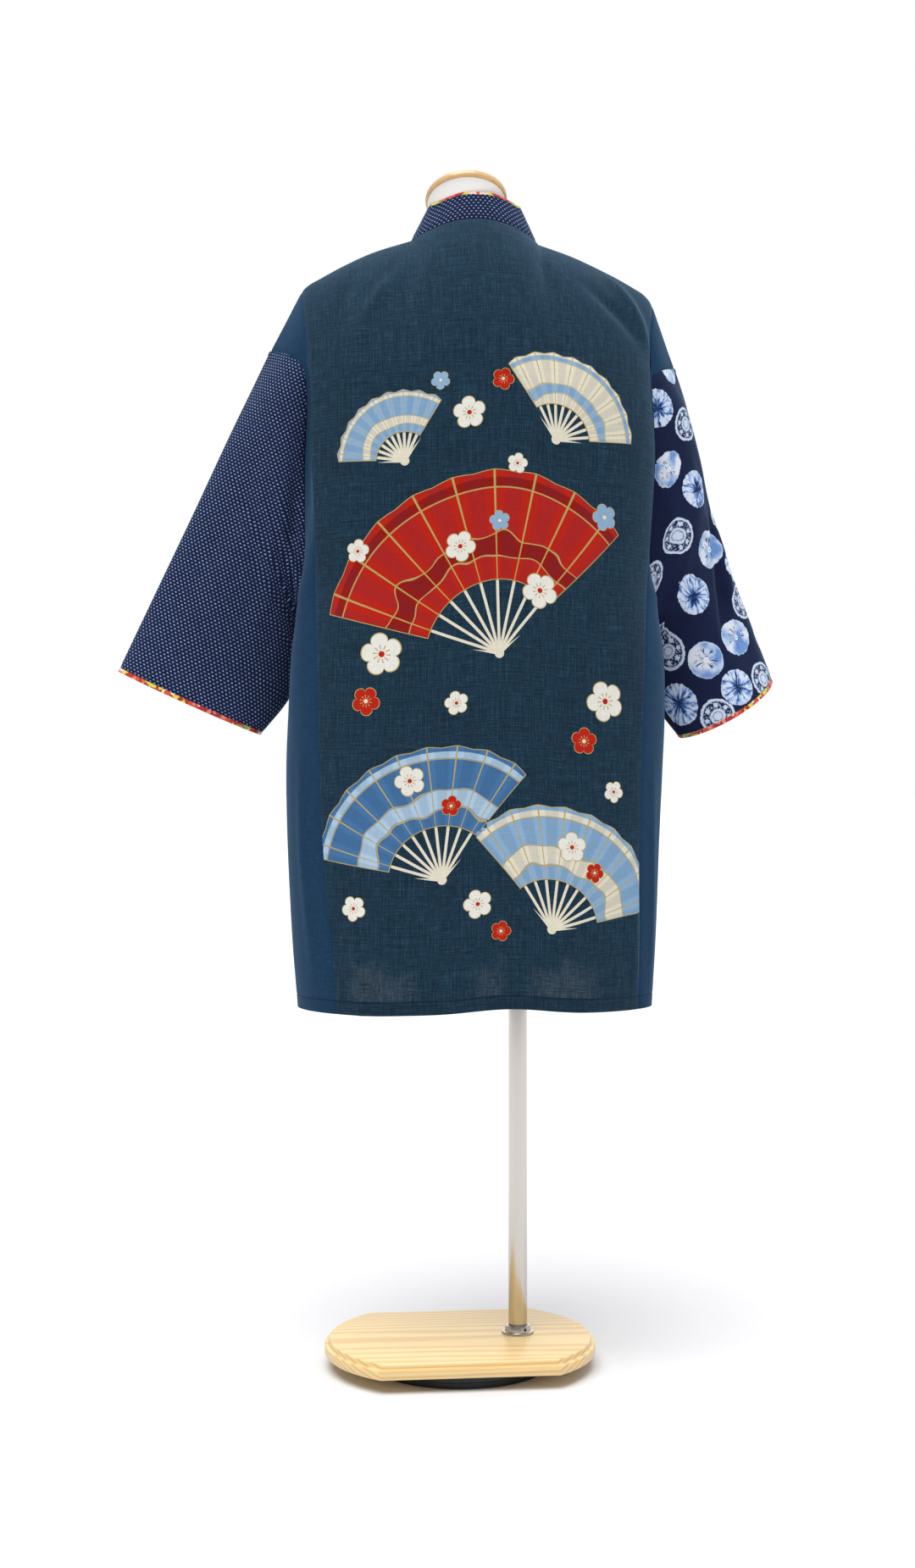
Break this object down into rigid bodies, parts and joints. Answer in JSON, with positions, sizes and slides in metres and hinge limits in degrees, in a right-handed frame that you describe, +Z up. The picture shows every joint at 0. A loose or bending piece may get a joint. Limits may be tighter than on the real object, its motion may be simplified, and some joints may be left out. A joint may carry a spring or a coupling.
{
  "type": "happi coat on a limbless dress form",
  "caption": "Hip-length happi coat of pieced indigo cotton with wide sleeves and a piped collar band, hanging open on a limbless dress form with a pole and a board foot.",
  "frame": {"origin": "centre of the foot's underside, on the floor", "axes": "+Z up along the stand; the coat's back faces -Y and the wearer would face +Y; +X is the side of the wearer's right arm"},
  "size_m": [0.7927, 0.2669, 1.3899],
  "materials": {
    "slub_cotton_navy": "matt slub cotton with a printed design",
    "plain_cotton_indigo": "matt plain weave",
    "dotted_cotton_navy": "matt weave with small pale dashes",
    "roundel_cotton_navy": "matt weave with pale tie-dyed roundels",
    "floral_crepe_piping": "bright floral crepe",
    "jersey_form_cover": "smooth off-white jersey",
    "varnished_beech": "satin varnish",
    "polished_steel": "polished",
    "clear_pine": "clear satin lacquer",
    "black_plastic": "moulded, satin"
  },
  "bodies": {
    "root": {"back_panel": "slub_cotton_navy", "back_strip_left": "plain_cotton_indigo", "back_strip_right": "plain_cotton_indigo", "front_left": "plain_cotton_indigo", "front_right": "plain_cotton_indigo", "sleeve_left_upper": "dotted_cotton_navy", "sleeve_left_lower": "dotted_cotton_navy", "sleeve_right_upper": "roundel_cotton_navy", "sleeve_right_lower": "roundel_cotton_navy", "collar_left": "dotted_cotton_navy", "collar_right": "dotted_cotton_navy", "collar_piping_left": "floral_crepe_piping", "collar_piping_right": "floral_crepe_piping", "cuff_piping_left": "floral_crepe_piping", "cuff_piping_right": "floral_crepe_piping", "form_torso": "jersey_form_cover", "neck_cap": "varnished_beech", "pole": "polished_steel", "pole_flange": "polished_steel", "base_board": "clear_pine", "foot_disc": "black_plastic", "foot_pad": "black_plastic"}
  },
  "joints": []
}
